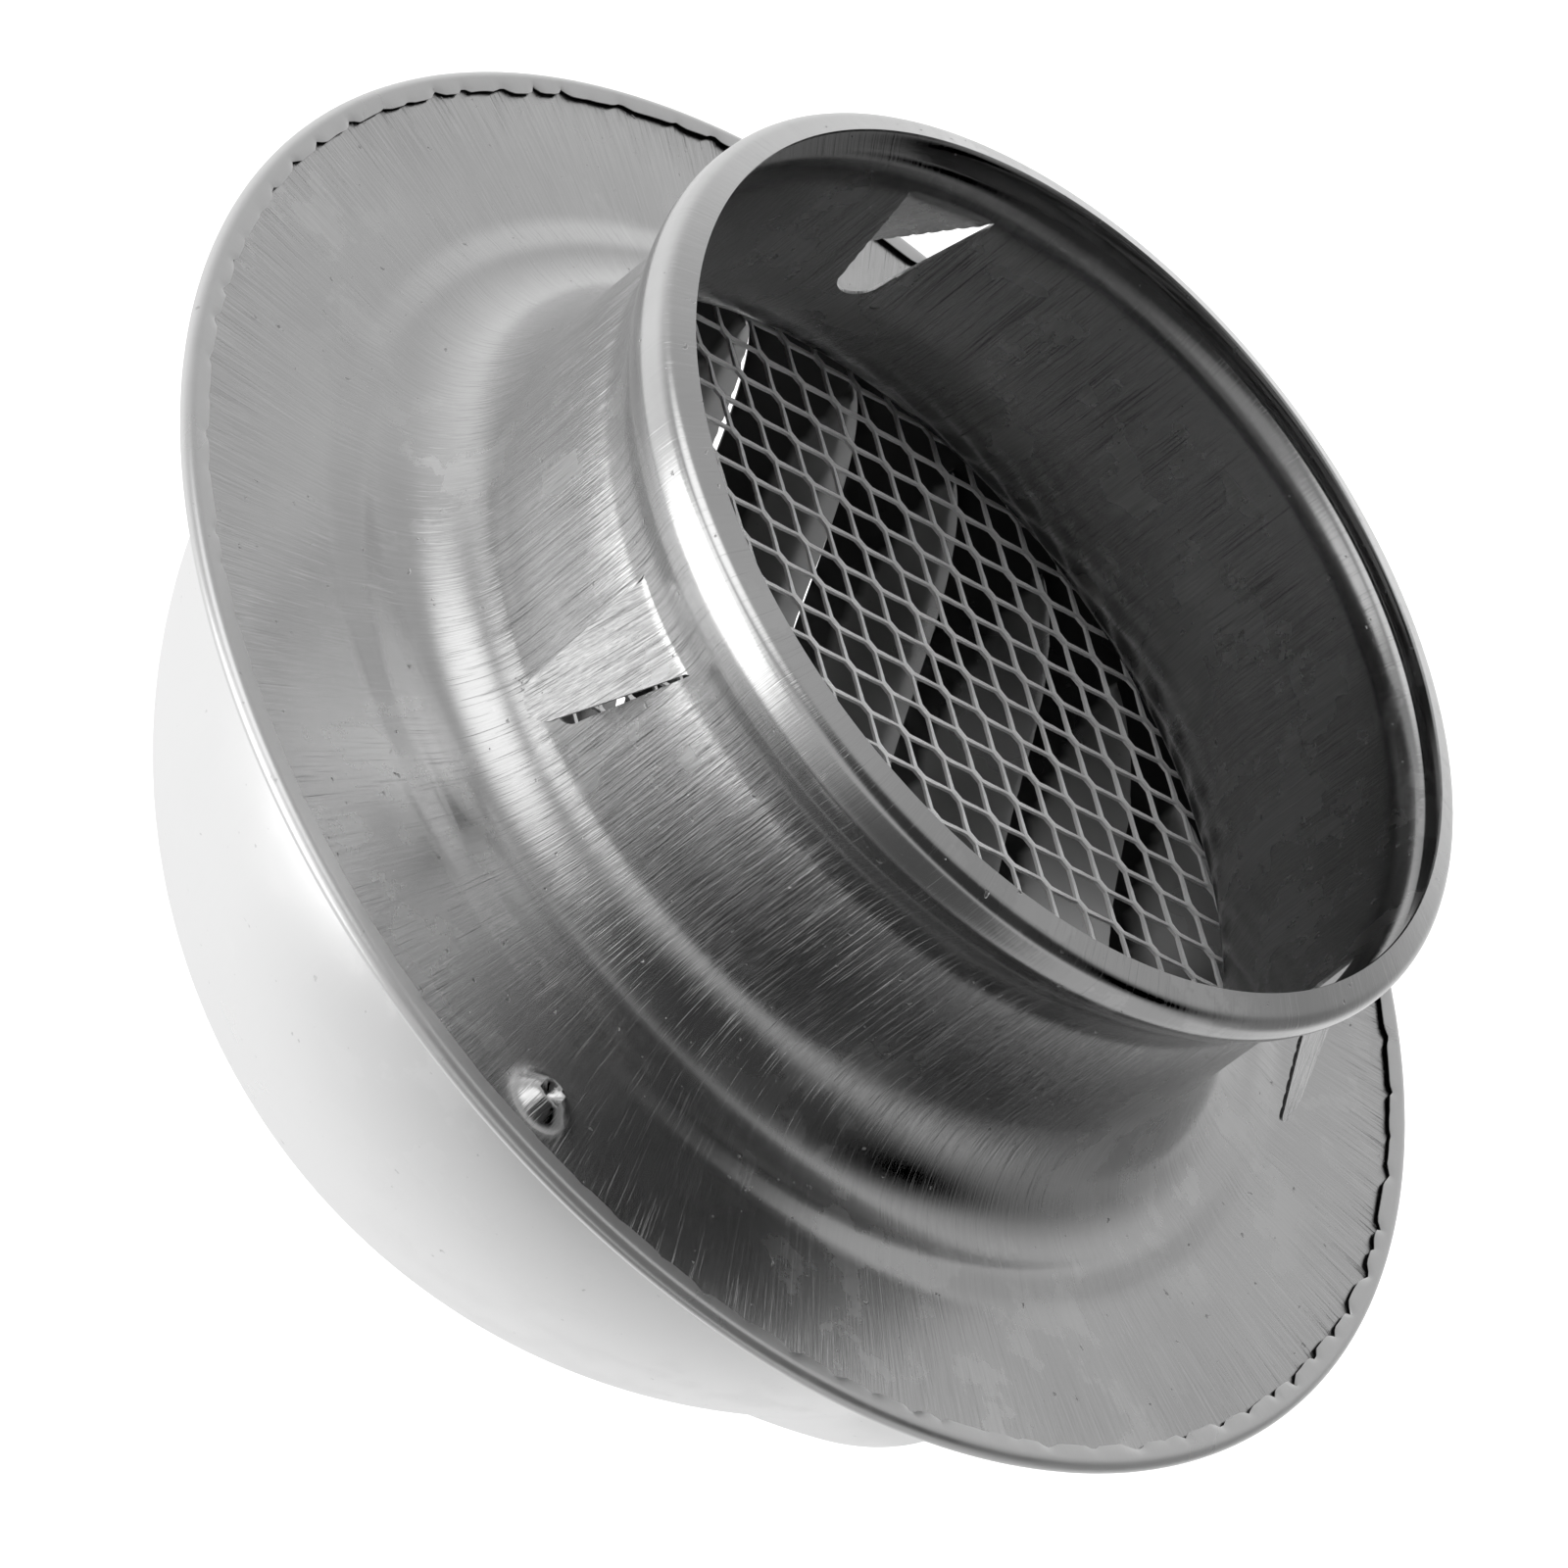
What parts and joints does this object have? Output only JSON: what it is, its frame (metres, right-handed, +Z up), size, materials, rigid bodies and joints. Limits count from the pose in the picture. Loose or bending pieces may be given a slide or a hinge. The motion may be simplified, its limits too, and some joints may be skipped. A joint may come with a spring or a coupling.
{
  "type": "round wall vent",
  "caption": "Round stainless wall vent: ball hood with louvres, collar with a swaged spigot and spring tongues for a duct, and an insect mesh.",
  "frame": {"origin": "on the vent's axis, in the plane of the hem's back face, which lies against the wall", "axes": "+Y along the axis out of the spigot, into the wall; the hood bulges to -Y; +Z up as fitted, with the louvres facing down; +X to the side"},
  "size_m": [0.15, 0.0978, 0.15],
  "materials": {
    "hood_steel": "satin polished stainless",
    "collar_steel": "drawn stainless with axial brush marks",
    "mesh_metal": "bare expanded sheet"
  },
  "bodies": {
    "root": {"hood": "hood_steel", "collar": "collar_steel", "insect_mesh": "mesh_metal"}
  },
  "joints": []
}
